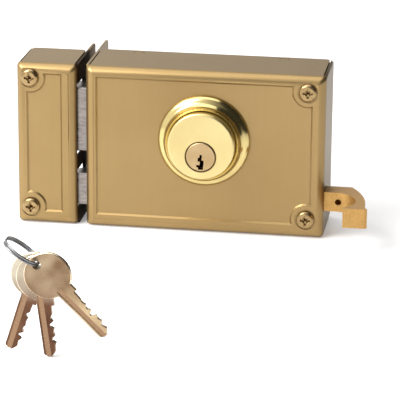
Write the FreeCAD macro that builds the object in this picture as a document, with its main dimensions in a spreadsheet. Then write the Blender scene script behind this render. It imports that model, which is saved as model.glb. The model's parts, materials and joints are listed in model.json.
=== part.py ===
"""Surface-mounted door lock with a key-driven deadbolt, a sprung latch and its strike box.

Millimetres, +Z up.  The lock's front looks along -Y and the bolts are thrown towards -X.  The
origin is on the plane of the door's inner face, on the centre line of the two key cylinders.
"""
import math
import os

import FreeCAD
import Part
import Sketcher

doc = FreeCAD.newDocument("door_lock")
Vector = FreeCAD.Vector
Rotation = FreeCAD.Rotation

SIZES = {
    # lock case, pressed from sheet
    "case_width": 120.0,
    "case_height": 83.0,
    "case_depth": 37.0,
    "sheet": 1.2,
    "bend": 4.5,
    "corner": 2.0,
    "seam": 0.7,
    "depth_of_seam": 5.0,
    "case_left": -60.0,
    "case_bottom": -48.0,
    "forend_reach": 20.0,
    "forend_hole_pitch": 50.0,
    "forend_hole_radius": 2.2,
    # raised border round the recessed front panel
    "panel_depth": 0.9,
    "panel_side": 5.5,
    "panel_top": 4.8,
    "panel_bottom": 6.6,
    "panel_notch": 7.2,
    # back plate and its tabs
    "plate": 2.0,
    "plate_gap": 0.3,
    "tab_width": 4.4,
    "tab_thick": 1.4,
    "tab_from_back": 2.8,
    "tab_left": -38.4,
    "tab_right": 35.5,
    "plate_hole_x": 92.0,
    "plate_hole_z": 52.0,
    "plate_hole_radius": 2.3,
    # pan-head screws
    "head_radius": 4.5,
    "head_height": 2.3,
    "head_sink": 0.6,
    "shank_radius": 2.0,
    "screw_root": 1.7,
    "screw_from_right": 8.7,
    "screw_from_top": 7.9,
    "screw_from_bottom": 9.9,
    # key cylinders
    "door_thickness": 40.0,
    "rosette_radius": 23.0,
    "rosette_height": 7.9,
    "rosette_rim": 1.2,
    "rosette_bead": 20.3,
    "rosette_lip": 18.2,
    "cylinder_radius": 16.8,
    "cylinder_height": 11.7,
    "neck_radius": 15.2,
    "neck_length": 3.3,
    "barrel_radius": 9.5,
    "barrel_length": 12.1,
    "outer_body_length": 26.0,
    "plug_radius": 7.25,
    "plug_bore": 7.3,
    "plug_drop": 5.2,
    "plug_proud": 0.25,
    "stub_radius": 5.2,
    "stub_length": 1.2,
    "clip_radius": 8.8,
    "tail_thick": 1.3,
    "tail_width": 4.4,
    "pin_radius": 1.35,
    "pin_bore": 1.45,
    "pin_pitch": 3.3,
    "clamp_spread": 23.0,
    # driver pinion
    "pitch_radius": 4.5,
    "tip_radius": 5.35,
    "root_radius": 3.45,
    "teeth": 10.0,
    "pinion_front": -22.4,
    "pinion_back": -18.3,
    "hub_radius": 7.95,
    "hub_bore": 8.0,
    # deadbolt
    "bolt_front": -32.5,
    "bolt_thick": 14.0,
    "window_gap": 0.2,
    "deadbolt_height": 33.0,
    "deadbolt_low": -10.0,
    "deadbolt_reach": 28.3,
    "deadbolt_inside": 20.0,
    "tail_plate": 4.0,
    "tail_plate_end": 10.0,
    "tail_plate_top": 16.5,
    "post_x": 2.0,
    "post_z": 9.2,
    "post_radius": 2.9,
    "rivet_radius": 1.6,
    # latch and pull handle
    "latch_height": 16.4,
    "latch_middle": -29.5,
    "latch_reach": 11.0,
    "latch_inside": 18.0,
    "latch_tip": 1.6,
    "bar_height": 5.0,
    "bar_thick": 4.0,
    "bar_front": -28.5,
    "spring_stop_x": -14.0,
    "spring_radius": 4.6,
    "spring_wire": 0.5,
    "spring_turns": 8.0,
    "handle_height": 9.8,
    "arm_thick": 10.5,
    "arm_inner_end": 40.0,
    "eye_radius": 1.6,
    # strike box on the door frame
    "strike_width": 31.0,
    "strike_gap": 4.0,
    "strike_front": -36.5,
    "strike_depth": 33.0,
    "strike_reach": 15.5,
    "strike_screw_in": 7.1,
    "strike_screw_top": 7.0,
    "strike_screw_bottom": 8.9,
    "strike_screw_tip": 12.0,
    # keys and their split ring
    "key_y": -215.0,
    "key_ring_x": -44.6,
    "key_ring_z": -5.3,
    "key_thick": 1.8,
    "key_reach": 42.6,
    "key_eye": 1.9,
    "bow_radius": 10.5,
    "bow_drop": 6.5,
    "key_ring_radius": 8.6,
    "key_ring_wire": 0.5,
}

sheet = doc.addObject("Spreadsheet::Sheet", "sizes")
for row, (alias, value) in enumerate(SIZES.items(), start=1):
    sheet.set(f"A{row}", alias)
    sheet.set(f"B{row}", str(value))
    sheet.setAlias(f"B{row}", alias)
doc.recompute()


def size(alias):
    """Plain value of one cell of the sheet."""
    return float(sheet.get(alias))


def formula(text):
    """Expression text in which every sheet alias is a reference to its cell."""
    words = str(text).replace("(", " ( ").replace(")", " ) ").split()
    return " ".join(f"sizes.{word}" if word in SIZES else word for word in words)


def bind(item, **formulas):
    """Drive each property of an object by an expression."""
    for name, text in formulas.items():
        item.setExpression(name, formula(text))
    return item


def place(item, at, turn=None):
    """Turn an object, then drive its position by three expressions."""
    item.Placement = FreeCAD.Placement(Vector(), turn or Rotation())
    for axis, text in zip("xyz", at):
        item.setExpression(f".Placement.Base.{axis}", formula(text))
    return item


def box(name, low, extent):
    """Box from its lowest corner and its three lengths."""
    item = bind(doc.addObject("Part::Box", name), Length=extent[0], Width=extent[1], Height=extent[2])
    return place(item, low)


def turn_to(direction):
    """Rotation that takes +Z to the named direction."""
    ways = {"+x": (1, 0, 0), "+y": (0, 1, 0), "-y": (0, -1, 0), "+z": (0, 0, 1)}
    return Rotation(Vector(0, 0, 1), Vector(*ways[direction]))


def rod(name, start, direction, radius, length):
    """Cylinder that grows from start along a direction."""
    item = bind(doc.addObject("Part::Cylinder", name), Radius=radius, Height=length)
    return place(item, start, turn_to(direction))


def taper(name, start, direction, radius, end_radius, length):
    """Cone that grows from start along a direction."""
    item = bind(doc.addObject("Part::Cone", name), Radius1=radius, Radius2=end_radius, Height=length)
    return place(item, start, turn_to(direction))


def fuse(name, parts):
    """One shape from several, which may also stand apart as a group of solids."""
    item = doc.addObject("Part::MultiFuse", name)
    item.Shapes = parts
    return item


def group(name, parts):
    """Several like pieces kept as separate solids of one node."""
    item = doc.addObject("Part::Compound", name)
    item.Links = parts
    return item


def cut(name, base, tools):
    """Base less every tool."""
    item = doc.addObject("Part::Cut", name)
    item.Base = base
    item.Tool = tools[0] if len(tools) == 1 else fuse(f"{name}_tools", tools)
    return item


def edges_where(item, test):
    """Numbers of the edges whose middle point and direction pass a test."""
    doc.recompute()
    found = []
    for number, edge in enumerate(item.Shape.Edges, start=1):
        middle = edge.valueAt((edge.FirstParameter + edge.LastParameter) / 2)
        if test(edge, middle):
            found.append(number)
    return found


def round_edges(name, base, radius, test):
    """Fillet of every edge that passes the test."""
    item = doc.addObject("Part::Fillet", name)
    item.Base = base
    item.Edges = [(number, radius, radius) for number in edges_where(base, test)]
    return item


def bevel_edges(name, base, width, test):
    """Chamfer of every edge that passes the test."""
    item = doc.addObject("Part::Chamfer", name)
    item.Base = base
    item.Edges = [(number, width, width) for number in edges_where(base, test)]
    return item


def near(value, target):
    """True when two lengths agree to a hundredth of a millimetre."""
    return abs(value - target) < 0.01


def pad(name, plane, corners, start, length):
    """Body made by padding one closed outline along the normal of an origin plane.

    Each corner is (x, y), or (x, y, mid_x, mid_y) when an arc through that middle point leads on to
    the next corner.
    """
    body = doc.addObject("PartDesign::Body", name)
    sketch = draw(body, plane, corners, start)
    feature = body.newObject("PartDesign::Pad", f"{name}_pad")
    feature.Profile = sketch
    bind(feature, Length=length)
    body.Tip = feature
    return body


def draw(body, plane, corners, offset="0"):
    """Closed sketch of lines and arcs on one origin plane of a body."""
    sketch = body.newObject("Sketcher::SketchObject", f"{body.Name}_outline")
    support = [f for f in body.Origin.OriginFeatures if f.Role == f"{plane}_Plane"][0]
    sketch.AttachmentSupport = [(support, "")]
    sketch.MapMode = "FlatFace"
    sketch.setExpression(".AttachmentOffset.Base.z", formula(offset))
    for corner, ahead in zip(corners, corners[1:] + corners[:1]):
        begin = Vector(corner[0], corner[1], 0)
        end = Vector(ahead[0], ahead[1], 0)
        if len(corner) == 2:
            sketch.addGeometry(Part.LineSegment(begin, end), False)
        else:
            sketch.addGeometry(Part.Arc(begin, Vector(corner[2], corner[3], 0), end), False)
    for number, corner in enumerate(corners):
        before = (number - 1) % len(corners)
        here = Vector(corner[0], corner[1], 0)
        ends = (before, end_at(sketch, before, here), number, end_at(sketch, number, here))
        sketch.addConstraint(Sketcher.Constraint("Coincident", *ends))
    return sketch


def end_at(sketch, number, here):
    """Which end of a sketch line or arc, 1 or 2, lies at a point."""
    return 1 if sketch.getPoint(number, 1).distanceToPoint(here) < 1e-6 else 2


def revolve(name, corners):
    """Body turned about the Y axis through the origin; corners are (radius, y)."""
    body = doc.addObject("PartDesign::Body", name)
    sketch = draw(body, "XY", corners)
    feature = body.newObject("PartDesign::Revolution", f"{name}_turn")
    feature.Profile = sketch
    axis = [f for f in body.Origin.OriginFeatures if f.Role == "Y_Axis"][0]
    feature.ReferenceAxis = (axis, [""])
    feature.Angle = 360
    body.Tip = feature
    return body


def coil(name, start, direction, radius, wire, turns, length):
    """Helical spring that grows from start along a direction."""
    path = bind(doc.addObject("Part::Helix", f"{name}_path"), Radius=radius, Height=length)
    path.setExpression("Pitch", formula(f"( {length} ) / ( {turns} )"))
    path.SegmentLength = 1
    ring = bind(doc.addObject("Part::Circle", f"{name}_wire"), Radius=wire)
    ring.Placement = FreeCAD.Placement(Vector(), Rotation(Vector(1, 0, 0), 90))
    ring.setExpression(".Placement.Base.x", formula(radius))
    doc.recompute()
    sweep = doc.addObject("Part::Sweep", name)
    sweep.Sections = [ring]
    sweep.Spine = (path, [f"Edge{n + 1}" for n in range(len(path.Shape.Edges))])
    sweep.Solid = True
    sweep.Frenet = True
    return place(sweep, start, turn_to(direction))


def pan_screw(name, at, shank, point=()):
    """Pan-head screw with a cross recess, its head towards -Y; at is the underside of the head.

    point holds further solids that continue the shank.
    """
    x, y, z = at
    head = rod(f"{name}_head", at, "-y", "head_radius", "head_height")
    dome = round_edges(
        f"{name}_dome", head, 0.75 * size("head_height"), lambda edge, middle: is_front(edge, head)
    )
    top = f"{y} - head_height - 0.1"
    slots = [
        box(f"{name}_slot_a", (f"{x} - 2.5", top, f"{z} - 0.6"), ("5", "1.9", "1.2")),
        box(f"{name}_slot_b", (f"{x} - 0.6", top, f"{z} - 2.5"), ("1.2", "1.9", "5")),
        taper(f"{name}_slot_c", (x, top, z), "+y", "1.6", "0.3", "3.6"),
    ]
    blank = fuse(f"{name}_blank", [dome, rod(f"{name}_shank", at, "+y", "shank_radius", shank), *point])
    return cut(name, blank, slots)


def is_front(edge, item):
    """True for a closed edge on the side of a shape nearest -Y."""
    return edge.isClosed() and near(edge.BoundBox.YMin, edge.BoundBox.YMax) and near(
        edge.BoundBox.YMin, item.Shape.BoundBox.YMin
    )


# ---- sheet-metal boxes: the lock's cover and the strike --------------------------------------

CASE_TOP = "case_bottom + case_height"
CASE_RIGHT = "case_left + case_width"
CASE_MIDDLE = "case_bottom + case_height / 2"
STRIKE_RIGHT = "case_left - strike_gap"
STRIKE_LEFT = "case_left - strike_gap - strike_width"
STRIKE_BACK = "strike_front + strike_depth"
NODES = {}


def pressed_box(name, left, front, width, depth, screws, panel, wrap_side, reach):
    """Open-backed box of sheet with rounded front edges, a recessed panel and one long side wall.

    screws are the (x, z) places of its face screws, panel the (low x, low z, width, height) of the
    recess, wrap_side the x of the outer face of the wall that runs on behind the box, and reach how
    far it runs on.
    """
    block = box(f"{name}_block", (left, front, "case_bottom"), (width, depth, "case_height"))
    doc.recompute()
    bounds = block.Shape.BoundBox

    def side_edge(edge, middle):
        return edge.BoundBox.YLength > 1

    def front_edge(edge, middle):
        return near(edge.BoundBox.YMin, bounds.YMin) and near(edge.BoundBox.YMax, bounds.YMin)

    soft_sides = round_edges(f"{name}_sides", block, size("corner"), side_edge)
    skin = round_edges(f"{name}_skin", soft_sides, size("bend"), front_edge)
    hollow = box(
        f"{name}_hollow",
        (f"{left} + sheet", f"{front} + sheet", "case_bottom + sheet"),
        (f"{width} - 2 * sheet", depth, "case_height - 2 * sheet"),
    )
    hollow_soft = round_edges(
        f"{name}_hollow_soft",
        hollow,
        size("bend") - size("sheet"),
        lambda edge, middle: near(middle.y, bounds.YMin + size("sheet")),
    )
    shell = cut(f"{name}_shell", skin, [hollow_soft])
    x, z, panel_width, panel_height = panel
    notches = [
        rod(f"{name}_notch_{n}", (sx, f"{front} - 1", sz), "+y", "panel_notch", "4")
        for n, (sx, sz) in enumerate(screws)
    ]
    recess = cut(
        f"{name}_recess",
        box(f"{name}_recess_block", (x, front, z), (panel_width, "panel_depth", panel_height)),
        notches,
    )
    dished = bevel_edges(
        f"{name}_dished",
        recess,
        0.94 * size("panel_depth"),
        lambda edge, middle: near(edge.BoundBox.YMin, bounds.YMin + size("panel_depth"))
        and near(edge.BoundBox.YMax, bounds.YMin + size("panel_depth")),
    )
    backing = box(
        f"{name}_backing",
        (f"{x} - 0.5", f"{front} + sheet - 0.2", f"{z} - 0.5"),
        (f"{panel_width} + 1", "panel_depth + 0.2", f"{panel_height} + 1"),
    )
    wrap = box(
        f"{name}_wrap",
        (wrap_side, f"{front} + depth_of_seam", "case_bottom"),
        ("sheet", f"{depth} - depth_of_seam + {reach}", "case_height"),
    )
    doc.recompute()
    wrap_end = wrap.Shape.BoundBox.YMax
    wrap_soft = round_edges(
        f"{name}_wrap_soft",
        wrap,
        size("corner"),
        lambda edge, middle: near(middle.y, wrap_end) and edge.BoundBox.XLength > 0.5,
    )
    return fuse(f"{name}_body", [shell, backing, wrap_soft]), dished


def seams(name, left, front, width, depth):
    """Slits between the side walls and the top and bottom walls, behind the front bend."""
    places = {"left": f"{left} + sheet", "right": f"{left} + {width} - sheet - seam"}
    heights = {"low": "case_bottom - 1", "high": f"{CASE_TOP} - corner - 0.5"}
    return [
        box(f"{name}_seam_{a}_{b}", (x, f"{front} + depth_of_seam", z), ("seam", depth, "corner + 1.5"))
        for a, x in places.items()
        for b, z in heights.items()
    ]


def corner_nib(name, along, at, ways, radius, thick):
    """What is ground off one square corner of a wall to round it.

    along is the axis through the wall, x or z; at is the corner and ways are the senses, + or -, in
    which the wall lies from it along y and along the remaining axis.
    """
    x, y, z = at
    back = {"+": f"{radius}", "-": f"- {radius}"}
    low = {"+": "0", "-": f"- {radius}"}
    if along == "x":
        corner = (x, f"{y} + ( {low[ways[0]]} )", f"{z} + ( {low[ways[1]]} )")
        extent = (thick, radius, radius)
        centre = (f"{x} - 0.5", f"{y} + ( {back[ways[0]]} )", f"{z} + ( {back[ways[1]]} )")
    else:
        corner = (f"{x} + ( {low[ways[1]]} )", f"{y} + ( {low[ways[0]]} )", z)
        extent = (radius, radius, thick)
        centre = (f"{x} + ( {back[ways[1]]} )", f"{y} + ( {back[ways[0]]} )", f"{z} - 0.5")
    round_part = rod(f"{name}_round", centre, f"+{along}", radius, f"{thick} + 1")
    return cut(name, box(f"{name}_square", corner, extent), [round_part])


def back_nibs(name, left, back, width, walls):
    """Nibs that round the back corners of the named walls: left and right ones, top and bottom ones."""
    tools = []
    for wall, x in (("left", f"{left} - 0.1"), ("right", f"{left} + {width} - sheet - 0.1")):
        if wall in walls:
            for end, z, way in (("high", CASE_TOP, "-"), ("low", "case_bottom", "+")):
                at = (x, back, z)
                nib = corner_nib(f"{name}_{wall}_{end}", "x", at, ("-", way), "corner", "sheet + 0.2")
                tools.append(nib)
    for end, z in (("top", f"{CASE_TOP} - sheet - 0.1"), ("bottom", "case_bottom - 0.1")):
        for side, x, way in (
            ("left", f"{left} + sheet + seam", "+"), ("right", f"{left} + {width} - sheet - seam", "-")
        ):
            nib = corner_nib(f"{name}_{end}_{side}", "z", (x, back, z), ("-", way), "corner", "sheet + 0.2")
            tools.append(nib)
    return tools


def slot_y(name, x, width, z, height):
    """Opening for a bolt through a side wall, with a gap all round it."""
    return box(
        name,
        (x, "bolt_front - window_gap", f"{z} - window_gap"),
        (width, "bolt_thick + 2 * window_gap", f"{height} + 2 * window_gap"),
    )


SCREW_X = f"{CASE_RIGHT} - screw_from_right"
SCREW_ZS = [f"{CASE_TOP} - screw_from_top", "case_bottom + screw_from_bottom"]
STRIKE_SCREW_X = f"{STRIKE_LEFT} + strike_screw_in"
STRIKE_SCREW_ZS = [f"{CASE_TOP} - strike_screw_top", "case_bottom + strike_screw_bottom"]
EDGE_HOLE_ZS = [f"{CASE_MIDDLE} {sign} forend_hole_pitch / 2" for sign in "+-"]
LATCH_LOW = "latch_middle - latch_height / 2"
HANDLE_LOW = "latch_middle - handle_height / 2"
TAB_XS = ["tab_left", "tab_right"]


def screw_holes(name, front, places):
    """Countersunk seats and clearance holes for pan-head screws."""
    tools = []
    for n, (x, z) in enumerate(places):
        seat = (x, f"{front} - 0.01", z)
        tools.append(rod(f"{name}_seat_{n}", seat, "+y", "head_radius + 0.7", "head_sink + 0.03"))
        tools.append(rod(f"{name}_way_{n}", (x, f"{front} - 1", z), "+y", "shank_radius + 0.15", "8"))
    return tools


def make_cover():
    """Lock cover with its forend wall, bolt windows, handle slot and tab slots."""
    places = [(SCREW_X, z) for z in SCREW_ZS]
    panel = (
        "case_left + panel_side",
        "case_bottom + panel_bottom",
        "case_width - 2 * panel_side - 0.7",
        "case_height - panel_bottom - panel_top",
    )
    body, dished = pressed_box(
        "cover", "case_left", "- case_depth", "case_width", "case_depth", places, panel,
        "case_left", "forend_reach",
    )
    windows = [
        slot_y("deadbolt_window", "case_left - 1", "4", "deadbolt_low", "deadbolt_height"),
        slot_y("latch_window", "case_left - 1", "4", LATCH_LOW, "latch_height"),
        box(
            "handle_slot",
            (f"{CASE_RIGHT} - 3", "bolt_front - window_gap", f"{HANDLE_LOW} - window_gap"),
            ("5", "arm_thick + 2 * window_gap", "handle_height + 2 * window_gap"),
        ),
        rod("cylinder_hole", ("0", "- case_depth - 1", "0"), "+y", "neck_radius + 0.15", "4"),
    ]
    for n, x in enumerate(TAB_XS):
        for end, z in (("top", f"{CASE_TOP} - sheet - 0.4"), ("bottom", "case_bottom - 0.6")):
            low = (f"{x} - tab_width / 2 - 0.35", "- tab_from_back - tab_thick - 0.35", z)
            opening = ("tab_width + 0.7", "tab_thick + 0.7", "sheet + 1")
            windows.append(box(f"tab_slot_{end}_{n}", low, opening))
    for n, z in enumerate(EDGE_HOLE_ZS):
        windows.append(
            rod(f"forend_hole_{n}", ("case_left - 1", "forend_reach / 2", z), "+x", "forend_hole_radius", "4")
        )
    slits = seams("cover", "case_left", "- case_depth", "case_width", "case_depth")
    slits += back_nibs("cover", "case_left", "0", "case_width", ["right"])
    holes = screw_holes("cover", "- case_depth", places)
    return cut("lock_cover", body, [dished] + windows + slits + holes)


def make_back_plate():
    """Back plate with four door-screw holes, the driver's bearing and tabs for the cover's slots."""
    gap = "sheet + plate_gap"
    blank = box(
        "plate_blank",
        (f"case_left + {gap}", "- plate", f"case_bottom + {gap}"),
        (f"case_width - 2 * ( {gap} )", "plate", f"case_height - 2 * ( {gap} )"),
    )
    tabs = []
    for n, x in enumerate(TAB_XS):
        for end, foot_z, tongue_z in (
            ("top", f"{CASE_TOP} - sheet - plate_gap - 2", f"{CASE_TOP} - sheet - plate_gap - 1"),
            ("bottom", "case_bottom + sheet + plate_gap", "case_bottom"),
        ):
            front = "- tab_from_back - tab_thick"
            tabs.append(
                box(f"tab_foot_{end}_{n}", (f"{x} - tab_width / 2", front, foot_z),
                    ("tab_width", "tab_from_back + tab_thick", "2"))
            )
            tabs.append(
                box(f"tab_tongue_{end}_{n}", (f"{x} - tab_width / 2", front, tongue_z),
                    ("tab_width", "tab_thick", "sheet + plate_gap + 1"))
            )
    holes = [rod("driver_bearing", ("0", "- plate - 1", "- plug_drop"), "+y", "hub_bore", "plate + 2")]
    for side_x in "+-":
        for side_z in "+-":
            at = (f"{side_x} plate_hole_x / 2", "- plate - 1", f"{CASE_MIDDLE} {side_z} plate_hole_z / 2")
            number = len(holes)
            holes.append(rod(f"door_hole_{number}", at, "+y", "plate_hole_radius", "plate + 2"))
        holes.append(
            rod(f"clamp_hole_{side_x == '+'}", (f"{side_x} clamp_spread / 2", "- plate - 1", "0"), "+y",
                "shank_radius + 0.15", "plate + 2")
        )
    for n, z in enumerate(SCREW_ZS):
        start = (SCREW_X, "- plate - 1", z)
        holes.append(rod(f"cover_screw_hole_{n}", start, "+y", "shank_radius + 0.1", "plate + 2"))
    return cut("back_plate", fuse("plate_with_tabs", [blank] + tabs), holes)


def tube(name, start, direction, radius, bore, length):
    """Plain tube."""
    outer = rod(f"{name}_outer", start, direction, radius, length)
    return cut(name, outer, [rod(f"{name}_bore", start, direction, bore, length)])


def make_case_fixings():
    """Two screws that hold the cover to the back plate, each through a spacer tube."""
    y = "- case_depth + head_sink"
    NODES["case_screws"] = group("case_screws", [
        pan_screw(f"case_screw_{n}", (SCREW_X, y, z), "case_depth - head_sink - 0.5")
        for n, z in enumerate(SCREW_ZS)
    ])
    inside = "- case_depth + sheet + panel_depth + 0.05"
    NODES["case_spacers"] = group("case_spacers", [
        tube(f"case_spacer_{n}", (SCREW_X, inside, z), "+y", "3.6", "shank_radius + 0.3",
             "case_depth - sheet - panel_depth - plate - 0.1")
        for n, z in enumerate(SCREW_ZS)
    ])


def is_rim(edge, y):
    """True for a closed edge that lies in the plane at y."""
    return edge.isClosed() and near(edge.BoundBox.YMin, y) and near(edge.BoundBox.YMax, y)


def key_cylinder(side, base, out, body_length, tail_end):
    """One key cylinder: rosette, housing, plug with its keyway, clip, pins, springs and tailpiece.

    base is the plane its rosette rests on, out the sense (+ or -) of Y that points away from the
    door, body_length how far the housing runs in behind the base and tail_end the y at which the
    tailpiece stops.
    """
    outward = f"{out}y"
    inward = {"+y": "-y", "-y": "+y"}[outward]
    y0 = size("door_thickness") if out == "+" else size("panel_depth") - size("case_depth")
    way = 1 if out == "+" else -1

    def along(distance):
        return f"{base} {out} ( {distance} )"

    height = size("rosette_height")
    lip = size("rosette_lip")
    wide = size("rosette_radius")
    bore = size("cylinder_radius") + 0.3
    rise = [
        (bore, y0),
        (wide, y0),
        (wide, y0 + way * size("rosette_rim"), wide - 0.9, y0 + way * 2.3),
        (size("rosette_bead"), y0 + way * 3.4, size("rosette_lip") + 0.7, y0 + way * 4.9),
        (lip, y0 + way * height),
        (bore, y0 + way * (height - 0.6)),
    ]
    NODES[f"{side}_rosette"] = revolve(f"{side}_rosette", rise)

    z = "- plug_drop"
    head = rod(f"{side}_head", ("0", along("0"), "0"), outward, "cylinder_radius", "cylinder_height")
    face_y = y0 + way * size("cylinder_height")
    soft_head = round_edges(f"{side}_head_soft", head, 1.1, lambda edge, middle: is_rim(edge, face_y))
    neck = rod(f"{side}_neck", ("0", along("0.5"), "0"), inward, "neck_radius", f"{body_length[0]} + 0.5")
    parts = [soft_head, neck]
    if body_length[1] != body_length[0]:
        parts.append(rod(f"{side}_barrel", ("0", along("0"), z), inward, "barrel_radius", body_length[1]))
    inner_end = along(f"- ( {body_length[1]} )")
    total = f"cylinder_height + {body_length[1]}"
    stations = [f"8.3 - {n} * pin_pitch" for n in range(4)]
    chamber_low = "- plug_drop + plug_radius - 0.5"
    bore_start = ("0", along(f"- ( {body_length[1]} ) - 1"), z)
    tools = [rod(f"{side}_bore", bore_start, outward, "plug_bore", f"{total} + 2")]
    mouth = ("0", along("cylinder_height - 0.9"), z)
    tools.append(rod(f"{side}_mouth", mouth, outward, "plug_bore + 0.4", "1"))
    for n, s in enumerate(stations):
        tools.append(rod(f"{side}_chamber_{n}", ("0", along(s), chamber_low), "+z", "pin_bore", "11.5"))
    if side == "outer":
        for mark, sign in (("a", "+"), ("b", "-")):
            at = (f"{sign} clamp_spread / 2", along(f"- ( {body_length[1]} ) - 1"), "0")
            tools.append(rod(f"{side}_clamp_bore_{mark}", at, outward, "shank_radius + 0.1", "15"))
    NODES[f"{side}_cylinder"] = cut(f"{side}_cylinder", fuse(f"{side}_cylinder_blank", parts), tools)

    bar = rod(f"{side}_plug_bar", ("0", inner_end, z), outward, "plug_radius", f"{total} + plug_proud")
    proud_y = face_y + way * size("plug_proud")
    soft_bar = bevel_edges(f"{side}_plug_soft", bar, 0.3, lambda edge, middle: is_rim(edge, proud_y))
    plug_blank = fuse(f"{side}_plug_blank", [
        soft_bar,
        rod(f"{side}_plug_stub", ("0", inner_end, z), inward, "stub_radius", "stub_length"),
    ])
    steps = {
        "a": (-0.4, -0.3, 1.1, 1.5),
        "b": (-1.3, -2.2, 1.9, 2.0),
        "c": (-0.3, -4.4, 1.9, 2.8),
        "d": (-2.0, -5.2, 2.6, 1.2),
        "e": (-1.2, -6.4, 2.6, 2.4),
    }
    ways_in = []
    for mark, (x, low, width, tall) in steps.items():
        flip = x if out == "-" else -x - width
        near_y = along(f"- ( {body_length[1]} ) + 3") if out == "+" else along("cylinder_height + 2")
        ways_in.append(
            box(f"{side}_keyway_{mark}", (str(flip), near_y, f"{z} + ( {low} )"),
                (str(width), f"{total} - 1", str(tall)))
        )
    for n, s in enumerate(stations):
        ways_in.append(rod(f"{side}_pin_way_{n}", ("0", along(s), f"{z} + 0.5"), "+z", "pin_bore", "8"))
    slot_low = inner_end if out == "-" else along(f"- ( {body_length[1]} ) - stub_length - 1")
    tail_x = "- tail_thick / 2 - 0.05"
    slot_y_low = along(f"- ( {body_length[1]} ) + 1.5") if out == "-" else slot_low
    ways_in.append(
        box(f"{side}_tail_slot", (tail_x, slot_y_low, f"{z} - tail_width / 2 - 0.05"),
            ("tail_thick + 0.1", "stub_length + 2.5", "tail_width + 0.1"))
    )
    NODES[f"{side}_plug"] = cut(f"{side}_plug", plug_blank, ways_in)

    clip_at = ("0", along(f"- ( {body_length[1]} ) - 0.15"), z)
    NODES[f"{side}_plug_clip"] = tube(
        f"{side}_plug_clip", clip_at, inward, "clip_radius", "stub_radius + 0.05", "0.8"
    )
    NODES[f"{side}_key_pins"] = group(f"{side}_key_pins", [
        rod(f"{side}_key_pin_{n}", ("0", along(s), f"{z} + 1.4"), "+z", "pin_radius", "5.6")
        for n, s in enumerate(stations)
    ])
    NODES[f"{side}_driver_pins"] = group(f"{side}_driver_pins", [
        rod(f"{side}_driver_pin_{n}", ("0", along(s), f"{z} + plug_radius + 0.1"), "+z", "pin_radius", "4.2")
        for n, s in enumerate(stations)
    ])
    NODES[f"{side}_pin_springs"] = group(f"{side}_pin_springs", [
        coil(f"{side}_pin_spring_{n}", ("0", along(s), f"{z} + plug_radius + 4.6"), "+z",
             "1.0", "0.18", "4", "5.8")
        for n, s in enumerate(stations)
    ])
    tail_start = along(f"- ( {body_length[1]} ) + 1.2")
    reach = f"{tail_end} - ( {tail_start} )" if out == "-" else f"{tail_start} - ( {tail_end} )"
    low_y = tail_start if out == "-" else tail_end
    NODES[f"{side}_tailpiece"] = box(
        f"{side}_tailpiece", ("- tail_thick / 2", low_y, f"{z} - tail_width / 2"),
        ("tail_thick", reach, "tail_width"),
    )


def make_clamp_screws():
    """Two screws from the back plate into the outer cylinder."""
    NODES["clamp_screws"] = group("clamp_screws", [
        pan_screw(f"clamp_screw_{n}", (f"{sign} clamp_spread / 2", "- plate - 0.05", "0"), "27")
        for n, sign in enumerate("+-")
    ])


def gear_tooth(low, pitch, top, angle):
    """Corners of one tapered tooth about a centre, pointing at an angle."""
    half = {low: 0.95, pitch: 0.58, top: 0.28}
    order = [(low, 1), (pitch, 1), (top, 1), (top, -1), (pitch, -1), (low, -1)]
    turned = []
    for radius, side in order:
        x = side * half[radius]
        cosine, sine = math.cos(angle), math.sin(angle)
        turned.append((radius * cosine + x * sine, radius * sine - x * cosine))
    return turned


def make_driver():
    """Ten-tooth pinion on a hub that turns in the back plate and takes both tailpieces."""
    teeth = int(size("teeth"))
    middle = -size("plug_drop")
    outline = []
    for number in range(teeth):
        angle = math.pi / 2 - number * 2 * math.pi / teeth
        for x, z in gear_tooth(size("root_radius"), size("pitch_radius"), size("tip_radius"), angle)[::-1]:
            outline.append((x, middle + z))
    pinion = pad("driver_pinion", "XZ", outline, "- pinion_back", "pinion_back - pinion_front")
    hub_start = ("0", "pinion_back - 0.01", "- plug_drop")
    hub = rod("driver_hub", hub_start, "+y", "hub_radius", "- pinion_back - 0.2")
    slot = box(
        "driver_slot",
        ("- tail_thick / 2 - 0.1", "pinion_front - 1", "- plug_drop - tail_width / 2 - 0.1"),
        ("tail_thick + 0.2", "30", "tail_width + 0.2"),
    )
    NODES["driver"] = cut("driver", fuse("driver_blank", [pinion, hub]), [slot])


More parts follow.
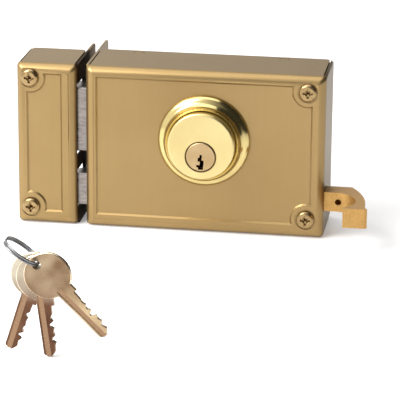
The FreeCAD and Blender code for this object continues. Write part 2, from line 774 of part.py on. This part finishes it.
def make_deadbolt():
    """Square deadbolt, its tail plate with the rack, the rivets that join them and the guide post."""
    back = "bolt_front + bolt_thick"
    tail_front = f"{back} - tail_plate"
    block = box(
        "deadbolt_block",
        ("case_left - deadbolt_reach", "bolt_front", "deadbolt_low"),
        ("deadbolt_reach + deadbolt_inside", "bolt_thick", "deadbolt_height"),
    )
    eased = bevel_edges("deadbolt_eased", block, 0.7, lambda edge, middle: edge.BoundBox.XLength > 1)
    lap = 12
    tail_left = size("case_left") + size("deadbolt_inside") - lap
    rebate = box(
        "deadbolt_rebate",
        (tail_left, tail_front, "deadbolt_low - 1"),
        (lap + 1, "tail_plate + 1", "tail_plate_top + 1.05 - deadbolt_low"),
    )
    rivet_places = [(tail_left + lap / 2, z) for z in (3.5, 13)]
    ways = [rod(f"deadbolt_rivet_way_{n}", (x, "bolt_front - 1", z), "+y", "rivet_radius + 0.03", "16")
            for n, (x, z) in enumerate(rivet_places)]
    NODES["deadbolt_head"] = cut("deadbolt_head", eased, [rebate] + ways)

    pitch = 2 * math.pi * size("pitch_radius") / size("teeth")
    mesh_z = size("pitch_radius") - size("plug_drop")
    root_z = mesh_z + 1.05
    tip_z = mesh_z - 0.8
    end = size("tail_plate_end")
    top = size("tail_plate_top")
    outline = [(tail_left + 0.1, root_z)]
    for number in range(-12, 2):
        x = (number + 0.5) * pitch
        outline += [(x - 1.09, root_z), (x - 0.23, tip_z), (x + 0.23, tip_z), (x + 1.09, root_z)]
    outline += [(end, root_z), (end, top), (tail_left + 0.1, top)]
    blank = pad("deadbolt_rack", "XZ", outline, f"- ( {back} )", "tail_plate")
    travel = size("deadbolt_reach")
    post = size("post_radius") + 0.25
    slot = box(
        "deadbolt_guide_slot",
        (f"post_x - {travel + post}", f"{tail_front} - 1", f"post_z - {post}"),
        (travel + 2 * post, "tail_plate + 2", 2 * post),
    )
    ways = [rod(f"deadbolt_tail_way_{n}", (x, f"{tail_front} - 1", z), "+y", "rivet_radius + 0.03", "7")
            for n, (x, z) in enumerate(rivet_places)]
    NODES["deadbolt_tail"] = cut("deadbolt_tail", blank, [slot] + ways)
    NODES["deadbolt_rivets"] = group("deadbolt_rivets", [
        rod(f"deadbolt_rivet_{n}", (x, "bolt_front + 0.2", z), "+y", "rivet_radius", "bolt_thick - 0.3")
        for n, (x, z) in enumerate(rivet_places)
    ])
    post_length = f"- plate - ( {tail_front} ) + 0.25"
    NODES["bolt_guide_post"] = fuse("bolt_guide_post", [
        rod("post_stem", ("post_x", "- plate", "post_z"), "-y", "post_radius", post_length),
        rod("post_head", ("post_x", f"- plate - ( {post_length} )", "post_z"), "-y",
            "post_radius + 1.2", "1.2"),
    ])


def make_latch():
    """Bevelled latch, its bar, return spring, fixed spring stop and joining pins."""
    back = size("bolt_front") + size("bolt_thick")
    front = size("bolt_front")
    tip = size("case_left") - size("latch_reach")
    rear = size("case_left") + size("latch_inside")
    outline = [
        (tip, front),
        (rear, front),
        (rear, back),
        (size("case_left") + 0.7, back),
        (tip, front + size("latch_tip")),
    ]
    blank = pad("latch_blank", "XY", outline, LATCH_LOW, "latch_height")
    bar_low = "latch_middle - bar_height / 2"
    lap = 4
    socket = box(
        "latch_socket",
        (rear - lap - 0.1, "bar_front - 0.05", f"{bar_low} - 0.05"),
        (lap + 1, "bar_thick + 0.1", "bar_height + 0.1"),
    )
    pin_y = "bar_front + bar_thick / 2"
    pin_radius = "1.1"
    pins = {"latch": (rear - lap / 2, 12), "handle": (size("arm_inner_end") + 3.5, 8)}
    ways = {
        name: rod(f"{name}_pin_way", (x, pin_y, f"latch_middle - {length} / 2"), "+z",
                  f"{pin_radius} + 0.03", length)
        for name, (x, length) in pins.items()
    }
    NODES["latch_bolt"] = cut("latch_bolt", blank, [socket, ways["latch"]])

    bar_end = size("arm_inner_end") + 6
    bar = box(
        "latch_bar_blank", (rear - lap, "bar_front", bar_low),
        (bar_end - rear + lap, "bar_thick", "bar_height"),
    )
    bar_ways = [
        rod(f"bar_pin_way_{name}", (x, pin_y, "latch_middle - 5"), "+z", f"{pin_radius} + 0.03", "10")
        for name, (x, length) in pins.items()
    ]
    NODES["latch_bar"] = cut("latch_bar", bar, bar_ways)
    NODES["latch_pins"] = group("latch_pins", [
        rod(f"{name}_pin", (x, pin_y, f"latch_middle - {length / 2 - 0.2}"), "+z", pin_radius, length - 0.4)
        for name, (x, length) in pins.items()
    ])
    NODES["latch_spring"] = coil(
        "latch_spring", (rear + 0.3 + size("spring_wire"), pin_y, "latch_middle"), "+x", "spring_radius",
        "spring_wire", "spring_turns", f"spring_stop_x - {rear + 0.6} - 2 * spring_wire",
    )
    stop_low = ("spring_stop_x", "bolt_front + 0.5", "latch_middle - 6.5")
    stop = box("stop_blank", stop_low, ("2", "- plate - bolt_front - 0.5", "13"))
    window = box(
        "stop_window",
        ("spring_stop_x - 1", "bar_front - 0.4", f"{bar_low} - 0.4"),
        ("4", "bar_thick + 0.8", "bar_height + 0.8"),
    )
    NODES["spring_stop"] = cut("spring_stop", stop, [window])
    make_handle(bar_low, ways["handle"], bar_end)


def make_handle(bar_low, pin_way, bar_end):
    """Cast brass pull: a straight arm that curls forward into a finger hook of even height."""
    right = size("case_left") + size("case_width")
    front = size("bolt_front")
    back = front + size("arm_thick")
    inner = size("arm_inner_end")
    outline = [
        (inner, back),
        (right + 13.0, back, right + 18.9, front - 1.5),
        (right + 21.8, front - 21.5),
        (right + 23.4, front - 24.0),
        (right + 22.0, front - 24.6),
        (right + 11.5, front - 24.6),
        (right + 11.5, front - 23.0),
        (right + 12.8, front - 22.0, right + 16.6, front - 10.5),
        (right + 7.0, front),
        (inner, front),
    ]
    blank = pad("handle_blank", "XY", outline, HANDLE_LOW, "handle_height")
    eye = rod("handle_eye", (right + 7.0, front - 1, "latch_middle"), "+y", "eye_radius", "arm_thick - 2")
    socket = box(
        "handle_socket",
        (inner - 1, "bar_front - 0.05", f"{bar_low} - 0.05"),
        (bar_end - inner + 1.1, "bar_thick + 0.1", "bar_height + 0.1"),
    )
    NODES["pull_handle"] = cut("pull_handle", blank, [eye, socket, pin_way])


def make_keys():
    """Three cut keys fanned on a split ring, standing before the lock with their tips down."""
    layer = size("key_thick") + 0.25
    make_key("front_key", -45.5, -layer, (1.5, 0.7, 1.9, 1.1, 0.6))
    make_key("middle_key", -7.5, 0, (0.8, 1.6, 0.6, 1.8, 1.0))
    make_key("rear_key", 17.5, layer, (1.2, 1.9, 0.9, 0.5, 1.4))
    make_key_ring()


def make_key(name, turn, back, depths):
    """Cut key that hangs from its eye, turned about +Y; back is its place in the stack of keys."""
    bow = size("bow_radius")
    drop = size("bow_drop")
    tip = -size("key_reach")
    left, right, stop = -3.0, 3.2, 4.6
    root = -drop - math.sqrt(bow ** 2 - left ** 2)
    outline = [(stop, -drop - math.sqrt(bow ** 2 - stop ** 2), 0, bow - drop), (left, root)]
    outline += [(left, tip + 1.4), (left + 1.4, tip), (0.3, tip), (right - 1.0, tip + 2.2)]
    for number, depth in enumerate(depths):
        z = tip + 4.4 + number * size("pin_pitch")
        outline += [(right - depth, z - 0.5), (right - depth, z + 0.5), (right - 0.2, z + 1.6)]
    outline += [(right, root - 2.9), (stop, root - 2.9)]
    blank = pad(f"{name}_blank", "XZ", outline, "- key_thick / 2", "key_thick")
    soft = bevel_edges(
        f"{name}_soft", blank, 0.45,
        lambda edge, middle: edge.Curve.TypeId == "Part::GeomCircle" and near(edge.Curve.Radius, bow),
    )
    low = f"{tip - 1}"
    run = "key_reach + 3.5 - bow_drop - bow_radius"
    key = cut(f"{name}_cut", soft, [
        rod(f"{name}_eye", ("0", "- key_thick", "0"), "+y", "key_eye", "2 * key_thick"),
        box(f"{name}_front_groove", ("-2.2", "- key_thick / 2 - 1", low), ("2.3", "1.45", run)),
        box(f"{name}_back_groove", ("0.5", "key_thick / 2 - 0.6", low), ("1.2", "1.6", run)),
    ])
    NODES[name] = place(key, ("key_ring_x", f"key_y + {back}", "key_ring_z"), Rotation(Vector(0, 1, 0), turn))


def make_key_ring():
    """Split ring of two turns through the keys' eyes, rising to the left and tipped a little."""
    rise = math.radians(145)
    tip_over = math.radians(7.5)
    outward = Vector(math.cos(rise), 0, math.sin(rise))
    across = Vector(-outward.z, 0, outward.x)
    normal = across * math.cos(tip_over) - Vector(0, 1, 0) * math.sin(tip_over)
    turns = coil(
        "key_ring", ("0", "0", "0"), "+z", "key_ring_radius", "key_ring_wire", "2", "4 * key_ring_wire + 0.1"
    )
    to_middle = outward * (size("key_ring_radius") - 0.3) - normal * (2 * size("key_ring_wire") + 0.05)
    start = [
        f"{eye} + ( {to_middle[axis]} )" for axis, eye in enumerate(("key_ring_x", "key_y", "key_ring_z"))
    ]
    NODES["key_ring"] = place(turns, start, Rotation(outward, normal.cross(outward), normal, "ZXY"))


def make_strike():
    """Strike box with its own recessed panel, bolt holes, frame flange and face screws."""
    places = [(STRIKE_SCREW_X, z) for z in STRIKE_SCREW_ZS]
    panel = (f"{STRIKE_LEFT} + 5.3", "case_bottom + 6.5", "18", "case_height - 11")
    body, dished = pressed_box(
        "strike", STRIKE_LEFT, "strike_front", "strike_width", "strike_depth", places, panel,
        f"{STRIKE_RIGHT} - sheet", "strike_reach",
    )
    holes = [
        box("strike_deadbolt_hole", (f"{STRIKE_RIGHT} - 3", "bolt_front - 1.5", "deadbolt_low - 2"),
            ("5", "bolt_thick + 2.2", "deadbolt_height + 4.2")),
        box("strike_latch_hole", (f"{STRIKE_RIGHT} - 3", "bolt_front - 1.5", f"{LATCH_LOW} - 1.8"),
            ("5", "bolt_thick + 2.2", "latch_height + 4.2")),
    ]
    for n, z in enumerate(EDGE_HOLE_ZS):
        holes.append(
            rod(f"strike_edge_hole_{n}", (f"{STRIKE_RIGHT} - 3", f"{STRIKE_BACK} + strike_reach / 2", z),
                "+x", "forend_hole_radius", "5")
        )
    slits = seams("strike", STRIKE_LEFT, "strike_front", "strike_width", "strike_depth")
    slits += back_nibs("strike", STRIKE_LEFT, STRIKE_BACK, "strike_width", ["left"])
    NODES["strike_box"] = cut(
        "strike_box", body, [dished] + holes + slits + screw_holes("strike", "strike_front", places)
    )
    y = "strike_front + head_sink"
    inside = "strike_front + sheet + panel_depth + 0.05"
    screws = []
    for n, z in enumerate(STRIKE_SCREW_ZS):
        root_at = (STRIKE_SCREW_X, STRIKE_BACK, z)
        root = rod(f"strike_screw_root_{n}", root_at, "+y", "screw_root", "strike_screw_tip - 3")
        tip_at = (STRIKE_SCREW_X, f"{STRIKE_BACK} + strike_screw_tip - 3", z)
        tip = taper(f"strike_screw_tip_{n}", tip_at, "+y", "screw_root", "0.3", "3")
        shank = "strike_depth - head_sink"
        screws.append(pan_screw(f"strike_screw_{n}", (STRIKE_SCREW_X, y, z), shank, (root, tip)))
    NODES["strike_screws"] = group("strike_screws", screws)
    NODES["strike_spacers"] = group("strike_spacers", [
        tube(f"strike_spacer_{n}", (STRIKE_SCREW_X, inside, z), "+y", "3.6", "shank_radius + 0.3",
             "strike_depth - sheet - panel_depth - 0.05")
        for n, z in enumerate(STRIKE_SCREW_ZS)
    ])


NODES["lock_cover"] = make_cover()
NODES["back_plate"] = make_back_plate()
make_case_fixings()
key_cylinder("inner", "- case_depth + panel_depth", "-", ("neck_length", "barrel_length"), "-13")
key_cylinder("outer", "door_thickness", "+", ("outer_body_length", "outer_body_length"), "-11")
make_clamp_screws()
make_driver()
make_deadbolt()
make_latch()
make_strike()
make_keys()

doc.recompute()
for item in doc.Objects:
    if "Invalid" in item.State or "Error" in item.State:
        raise RuntimeError(f"{item.Name} did not compute: {item.State}")
os.makedirs("parts", exist_ok=True)
for label, item in NODES.items():
    item.Label = label
    if item.Shape.isNull() or not item.Shape.isValid():
        raise RuntimeError(f"{label} has no valid shape")
    item.Shape.exportStep(f"parts/{label}.step")
    print(f"{label}: {len(item.Shape.Solids)} solids, {item.Shape.Volume:.0f} mm3")
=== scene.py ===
"""Looks of the surface-mounted door lock: metals, floor, studio light and camera."""
import json
import math

import bpy
from mathutils import Matrix, Vector

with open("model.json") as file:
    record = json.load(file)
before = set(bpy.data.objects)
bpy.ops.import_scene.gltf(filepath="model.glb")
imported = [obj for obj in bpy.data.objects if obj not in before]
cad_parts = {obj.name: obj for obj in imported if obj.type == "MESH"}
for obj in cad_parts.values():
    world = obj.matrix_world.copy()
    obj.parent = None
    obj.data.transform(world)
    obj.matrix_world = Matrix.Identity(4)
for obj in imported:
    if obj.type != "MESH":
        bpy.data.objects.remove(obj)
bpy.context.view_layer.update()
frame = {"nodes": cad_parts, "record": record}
NODES = frame["nodes"]
SLOT_OF = {part["node"]: part["material_slot"] for part in frame["record"]["subparts"]}


# ---- materials -------------------------------------------------------------------------------

# Places on the parts in metres. Each pair is the two ends of a change in tone, and PLUG_DROP is
# how far the plug's axis lies below its cylinder's.
# The next four pairs bound the painted shade on the walls between the strike and the case.
STRIKE_SIDE = (-0.0662, -0.0655)
CASE_SIDE = (-0.0602, -0.0599)
GAP_MOUTH = (-0.0357, -0.0335)
GAP_REAR = (-0.006, -0.001)
# The next two place the ring of painted shade round the key plug.
PLUG_DROP = 0.0052
PLUG_SHADE_RADII = (0.0081, 0.0077)
FRONT_KEY_BACK = (-0.2161, -0.2158)
GOLD_BLADE = (-0.038, -0.03)
BOW_BOTTOM = (-0.024, -0.012)
# The keys are stacked from KEY_FACE at KEY_STEP; the next three are depths in one step: where the painted
# edge highlight starts, where the groove tone starts, and where both end.
KEY_FACE = -0.218
KEY_STEP = 0.00205
BLADE_HIGHLIGHT = (0.00009, 0.00015)
BLADE_GROOVE = (0.00042, 0.00048)
BLADE_HALF = (0.0006, 0.0007)


class Finish:
    """Node tree of one material, with short calls for the nodes it is made of."""

    def __init__(self, name):
        self.material = bpy.data.materials.new(name)
        self.material.use_nodes = True
        self.tree = self.material.node_tree
        self.shader = self.tree.nodes["Principled BSDF"]

    def node(self, kind, **settings):
        made = self.tree.nodes.new(kind)
        for key, value in settings.items():
            setattr(made, key, value)
        return made

    def link(self, source, target):
        self.tree.links.new(source, target)

    def position(self, scale):
        """Place on the part in metres, stretched by a scale for each axis."""
        where = self.node("ShaderNodeTexCoord")
        stretch = self.node("ShaderNodeMapping")
        stretch.inputs["Scale"].default_value = scale
        self.link(where.outputs["Object"], stretch.inputs["Vector"])
        return stretch.outputs["Vector"]

    def axes(self):
        """X, Y and Z of the place on the part in metres."""
        split = self.node("ShaderNodeSeparateXYZ")
        self.link(self.position((1, 1, 1)), split.inputs["Vector"])
        return split.outputs

    def distance(self, first, second):
        """Length of the two grey values taken as a flat vector."""
        flat = self.node("ShaderNodeCombineXYZ")
        self.link(first, flat.inputs["X"])
        self.link(second, flat.inputs["Y"])
        length = self.node("ShaderNodeVectorMath", operation="LENGTH")
        self.link(flat.outputs["Vector"], length.inputs[0])
        return length.outputs["Value"]

    def noise(self, scale, detail=3.0, roughness=0.5):
        """Grey noise, finer for a bigger scale."""
        made = self.node("ShaderNodeTexNoise")
        made.inputs["Scale"].default_value = 1.0
        made.inputs["Detail"].default_value = detail
        made.inputs["Roughness"].default_value = roughness
        self.link(self.position(scale), made.inputs["Vector"])
        return made.outputs["Fac"]

    def ramp(self, source, low, high, dark, light):
        """Colour between dark and light as a grey value goes from low to high."""
        made = self.node("ShaderNodeValToRGB")
        made.color_ramp.elements[0].position = low
        made.color_ramp.elements[1].position = high
        made.color_ramp.elements[0].color = (*dark, 1)
        made.color_ramp.elements[1].color = (*light, 1)
        self.link(source, made.inputs["Fac"])
        return made.outputs["Color"]

    def span(self, source, low, high, out_low, out_high):
        """Grey value rescaled from one span to another."""
        made = self.node("ShaderNodeMapRange")
        for key, value in zip(("From Min", "From Max", "To Min", "To Max"), (low, high, out_low, out_high)):
            made.inputs[key].default_value = value
        self.link(source, made.inputs["Value"])
        return made.outputs["Result"]

    def times(self, first, second):
        """Product of two grey values."""
        made = self.node("ShaderNodeMath", operation="MULTIPLY")
        self.link(first, made.inputs[0])
        self.link(second, made.inputs[1])
        return made.outputs["Value"]

    def mix(self, factor, first, second, blend="MIX"):
        """Mix of two colours; factor is a number or a grey value."""
        made = self.node("ShaderNodeMix", data_type="RGBA", blend_type=blend)
        if isinstance(factor, (int, float)):
            made.inputs["Factor"].default_value = factor
        else:
            self.link(factor, made.inputs["Factor"])
        for value, socket in ((first, made.inputs["A"]), (second, made.inputs["B"])):
            if isinstance(value, tuple):
                socket.default_value = (*value, 1)
            else:
                self.link(value, socket)
        return made.outputs["Result"]

    def bump(self, height, strength, distance):
        """Fine relief from a grey value."""
        made = self.node("ShaderNodeBump")
        made.inputs["Strength"].default_value = strength
        made.inputs["Distance"].default_value = distance
        self.link(height, made.inputs["Height"])
        self.link(made.outputs["Normal"], self.shader.inputs["Normal"])

    def set(self, **values):
        """Plain values on the shader; underscores stand for spaces."""
        for key, value in values.items():
            socket = self.shader.inputs[key.replace("_", " ")]
            socket.default_value = (*value, 1) if isinstance(value, tuple) else value


def colour(red, green, blue):
    """Linear colour from the 0-255 numbers of a display colour."""
    def linear(value):
        part = value / 255
        return part / 12.92 if part <= 0.04045 else ((part + 0.055) / 1.055) ** 2.4
    return (linear(red), linear(green), linear(blue))


def gold_enamel():
    """Satin gold lacquer with fine grain and faint streaks, and painted shade on the walls between the
    strike and the case.
    """
    finish = Finish("gold_enamel")
    grain = finish.noise((2600, 2600, 2600), 2)
    clouds = finish.noise((22, 22, 22), 3)
    streaks = finish.noise((420, 420, 14), 3)
    tint = finish.ramp(clouds, 0.3, 0.7, colour(159, 132, 87), colour(166, 139, 94))
    drawn = finish.mix(finish.span(streaks, 0.35, 0.75, 0, 0.3), tint, colour(155, 129, 85))
    axes = finish.axes()
    # Painted shade: the facing walls of the strike and the case, from just behind the front bends back
    # towards the door, turn dark brown and rougher, fading towards the back.
    past_strike = finish.span(axes["X"], *STRIKE_SIDE, 0, 1)
    before_case = finish.span(axes["X"], *CASE_SIDE, 1, 0)
    behind_rim = finish.span(axes["Y"], *GAP_MOUTH, 0, 0.92)
    before_door = finish.span(axes["Y"], *GAP_REAR, 1, 0.3)
    beside = finish.times(past_strike, before_case)
    gap_painted_shade = finish.times(beside, finish.times(behind_rim, before_door))
    finish.link(finish.mix(gap_painted_shade, drawn, colour(50, 35, 16)), finish.shader.inputs["Base Color"])
    rough = finish.span(grain, 0.3, 0.7, 0.3, 0.4)
    finish.link(finish.times(rough, finish.span(gap_painted_shade, 0, 1, 1, 1.9)), finish.shader.inputs["Roughness"])
    finish.set(Metallic=0.85, Specular_Tint=(0.6, 0.66, 0.74))
    finish.bump(grain, 0.06, 0.00004)
    return finish.material


def plug_ring_shade(finish, axes):
    """0.9 in the mouth of a key plug's bore and 0 outside it: the ring of painted shade round the plug."""
    lower = finish.node("ShaderNodeMath", operation="ADD")
    lower.inputs[1].default_value = PLUG_DROP
    finish.link(axes["Z"], lower.inputs[0])
    return finish.span(finish.distance(axes["X"], lower.outputs["Value"]), *PLUG_SHADE_RADII, 0, 0.9)


def turned_metal(name, dark, light, roughness, grain, shade_ring=False):
    """Turned metal: fine rings over cloudy tint; the last option paints shade round the key plug."""
    finish = Finish(name)
    axes = finish.axes()
    rings = finish.node("ShaderNodeTexNoise", noise_dimensions="1D")
    rings.inputs["Scale"].default_value = 2500
    rings.inputs["Detail"].default_value = 3
    finish.link(finish.distance(axes["X"], axes["Z"]), rings.inputs["W"])
    tint = finish.ramp(finish.noise((60, 60, 60), 3), 0.3, 0.7, dark, light)
    if shade_ring:
        # Painted shade: a dark brown ring in the mouth of the plug's bore.
        tint = finish.mix(plug_ring_shade(finish, axes), tint, colour(70, 46, 20))
    finish.link(tint, finish.shader.inputs["Base Color"])
    low, high = roughness
    finish.link(finish.span(rings.outputs["Fac"], 0.3, 0.7, low, high), finish.shader.inputs["Roughness"])
    finish.set(Metallic=1.0)
    finish.bump(rings.outputs["Fac"], grain, 0.00004)
    return finish.material


def ground_steel(name, dark, light, roughness, stretch):
    """Ground or plated steel with directional scratches."""
    finish = Finish(name)
    scratches = finish.noise(stretch, 5, 0.6)
    clouds = finish.noise((90, 90, 90), 3)
    tint = finish.ramp(scratches, 0.3, 0.7, dark, light)
    stained = finish.mix(finish.span(clouds, 0.45, 0.75, 0, 0.5), tint, dark)
    finish.link(stained, finish.shader.inputs["Base Color"])
    low, high = roughness
    finish.link(finish.span(scratches, 0.3, 0.7, low, high), finish.shader.inputs["Roughness"])
    finish.set(Metallic=0.9)
    finish.bump(scratches, 0.12, 0.00005)
    return finish.material


def cast_brass():
    """Raw cast brass: fine speckle over soft clouds, slightly pitted."""
    finish = Finish("cast_brass")
    speckle = finish.noise((1500, 1500, 1500), 4, 0.6)
    clouds = finish.noise((150, 150, 150), 4)
    tint = finish.ramp(speckle, 0.25, 0.75, colour(170, 130, 72), colour(204, 164, 100))
    warm = finish.mix(finish.span(clouds, 0.4, 0.65, 0, 0.4), tint, colour(196, 150, 88))
    finish.link(warm, finish.shader.inputs["Base Color"])
    finish.link(finish.span(speckle, 0.3, 0.7, 0.5, 0.36), finish.shader.inputs["Roughness"])
    finish.set(Metallic=0.85)
    finish.bump(speckle, 0.25, 0.00006)
    return finish.material


def worn_key():
    """Handled key metal: plated bows, copper and gold blades, a painted highlight along the edges and a
    brown groove tone.
    """
    finish = Finish("key_brass")
    axes = finish.axes()
    clouds = finish.noise((60, 60, 60), 2)
    scuffs = finish.noise((900, 900, 900), 4, 0.6)
    worn = finish.ramp(clouds, 0.4, 0.62, colour(120, 94, 70), colour(170, 150, 122))
    plated = finish.ramp(clouds, 0.3, 0.7, colour(178, 166, 146), colour(210, 202, 186))
    copper = finish.ramp(clouds, 0.3, 0.7, colour(82, 54, 40), colour(118, 86, 66))
    gold = finish.ramp(clouds, 0.3, 0.7, colour(160, 136, 104), colour(200, 178, 142))
    bow = finish.mix(finish.span(axes["Y"], *FRONT_KEY_BACK, 0, 1), worn, plated)
    blade = finish.mix(finish.span(axes["X"], *GOLD_BLADE, 0, 1), copper, gold)
    tint = finish.mix(finish.span(axes["Z"], *BOW_BOTTOM, 0, 1), blade, bow)
    depth = finish.node("ShaderNodeMath", operation="FLOORED_MODULO")
    depth.inputs[1].default_value = KEY_STEP
    start = finish.node("ShaderNodeMath", operation="SUBTRACT")
    start.inputs[1].default_value = KEY_FACE
    finish.link(axes["Y"], start.inputs[0])
    finish.link(start.outputs["Value"], depth.inputs[0])
    front_half = finish.span(depth.outputs["Value"], *BLADE_HALF, 1, 0)
    # Painted highlight: from 0.15 mm deep in each key, the edge faces and bevels turn near white.
    edge_highlight = finish.times(finish.span(depth.outputs["Value"], *BLADE_HIGHLIGHT, 0, 1), front_half)
    # Groove tone: from 0.48 mm deep each key turns one brown. On the gold blade this is painted shade in
    # the groove; on the copper blades it is paler than the blade.
    groove = finish.times(finish.span(depth.outputs["Value"], *BLADE_GROOVE, 0, 0.96), front_half)
    highlighted = finish.mix(edge_highlight, tint, colour(246, 228, 196))
    tint = finish.mix(groove, highlighted, colour(142, 110, 84))
    finish.link(tint, finish.shader.inputs["Base Color"])
    finish.link(finish.span(scuffs, 0.3, 0.7, 0.2, 0.36), finish.shader.inputs["Roughness"])
    finish.set(Metallic=0.95)
    finish.bump(scuffs, 0.15, 0.00006)
    return finish.material


MATERIALS = {
    "gold_enamel": gold_enamel(),
    "polished_brass": turned_metal(
        "polished_brass", colour(204, 182, 120), colour(220, 200, 138),
        (0.12, 0.2), 0.02),
    "satin_brass": turned_metal(
        "satin_brass", colour(216, 196, 136), colour(226, 206, 148),
        (0.3, 0.4), 0.08, True),
    "plug_brass": turned_metal(
        "plug_brass", colour(180, 152, 110), colour(204, 178, 136),
        (0.34, 0.46), 0.12),
    "cast_brass": cast_brass(),
    "bright_steel": ground_steel(
        "bright_steel", colour(116, 108, 104), colour(166, 158, 153),
        (0.25, 0.4), (200, 500, 900)),
    "zinc_steel": ground_steel(
        "zinc_steel", colour(150, 148, 142), colour(196, 194, 188),
        (0.3, 0.45), (300, 300, 300)),
    "yellow_zinc": ground_steel(
        "yellow_zinc", colour(148, 122, 82), colour(180, 154, 109),
        (0.16, 0.28), (500, 500, 500)),
    "key_brass": worn_key(),
    "spring_steel": ground_steel(
        "spring_steel", colour(120, 120, 122), colour(160, 160, 162),
        (0.25, 0.35), (500, 500, 500)),
}

WELD_REACH = 0.000005
EDGE_WIDTH = 0.00016

for name, node in NODES.items():
    for slot in node.material_slots:
        slot.material = MATERIALS[SLOT_OF[name]]
    weld = node.modifiers.new("weld", "WELD")
    weld.merge_threshold = WELD_REACH
    edge = node.modifiers.new("edge", "BEVEL")
    edge.width = EDGE_WIDTH
    edge.segments = 2
    edge.limit_method = "ANGLE"
    edge.angle_limit = math.radians(40)
    edge.harden_normals = True


# ---- floor, light and camera -----------------------------------------------------------------

SPREAD = 4.0
FLOOR_Z = -0.048

floor_mesh = bpy.data.meshes.new("floor")
corners = [(-SPREAD, -SPREAD), (SPREAD, -SPREAD), (SPREAD, SPREAD), (-SPREAD, SPREAD)]
floor_mesh.from_pydata([(x, y, FLOOR_Z) for x, y in corners], [], [(0, 1, 2, 3)])
floor = bpy.data.objects.new("floor", floor_mesh)
bpy.context.scene.collection.objects.link(floor)
paper = Finish("paper")
paper.set(Base_Color=(0.88, 0.88, 0.88), Roughness=0.35, Specular_IOR_Level=0.2)
paper.set(Emission_Color=(1.0, 1.0, 1.0), Emission_Strength=0.25)
floor_mesh.materials.append(paper.material)


def studio_world(strength, stops):
    """Grey surroundings whose brightness changes along X; stops are (place from 0 to 1, grey)."""
    world = bpy.data.worlds.new("studio")
    bpy.context.scene.world = world
    world.use_nodes = True
    nodes, links = world.node_tree.nodes, world.node_tree.links
    heading = nodes.new("ShaderNodeTexCoord")
    split = nodes.new("ShaderNodeSeparateXYZ")
    aim = nodes.new("ShaderNodeMapRange")
    aim.inputs["From Min"].default_value = -1.0
    aim.inputs["From Max"].default_value = 1.0
    falloff = nodes.new("ShaderNodeValToRGB")
    steps = falloff.color_ramp.elements
    first, *others, last = stops
    for step, (place, grey) in zip(steps, (first, last)):
        step.position = place
        step.color = (grey, grey, grey, 1)
    for place, grey in others:
        steps.new(place).color = (grey, grey, grey, 1)
    links.new(heading.outputs["Generated"], split.inputs["Vector"])
    links.new(split.outputs["X"], aim.inputs["Value"])
    links.new(aim.outputs["Result"], falloff.inputs["Fac"])
    links.new(falloff.outputs["Color"], nodes["Background"].inputs["Color"])
    nodes["Background"].inputs["Strength"].default_value = strength


def softbox(name, place, target, width, height, power):
    """Rectangular area light at a place, facing a target."""
    data = bpy.data.lights.new(name, "AREA")
    data.shape = "RECTANGLE"
    data.size = width
    data.size_y = height
    data.energy = power
    lamp = bpy.data.objects.new(name, data)
    lamp.location = place
    lamp.rotation_euler = (Vector(target) - Vector(place)).to_track_quat("-Z", "Y").to_euler()
    bpy.context.scene.collection.objects.link(lamp)


studio_world(1.25, ((0.36, 1.0), (0.47, 0.6), (0.68, 0.03)))
softbox("key", (-0.6, -0.45, 0.7), (0, 0, 0), 0.7, 0.5, 10)
softbox("overhead", (-0.12, 0.0, 1.1), (0, 0, 0), 1.1, 1.0, 4.5)

CAMERA_PLACE = (0.16924, -1.16425, 0.33571)
YAW = math.radians(8.62)
PITCH = math.radians(17.82)
ROLL = math.radians(0.5)
ahead = Vector((-math.sin(YAW) * math.cos(PITCH), math.cos(YAW) * math.cos(PITCH), -math.sin(PITCH)))
level = Vector((math.cos(YAW), math.sin(YAW), 0))
upward = level.cross(ahead)
right = level * math.cos(ROLL) + upward * math.sin(ROLL)
top = upward * math.cos(ROLL) - level * math.sin(ROLL)
camera_data = bpy.data.cameras.new("camera")
camera_data.lens = 216.1
camera_data.sensor_width = 36
camera = bpy.data.objects.new("camera", camera_data)
facing = Matrix((right, top, -ahead)).transposed().to_4x4()
camera.matrix_world = Matrix.Translation(CAMERA_PLACE) @ facing
bpy.context.scene.collection.objects.link(camera)
bpy.context.scene.camera = camera
bpy.context.scene.view_settings.view_transform = "Standard"
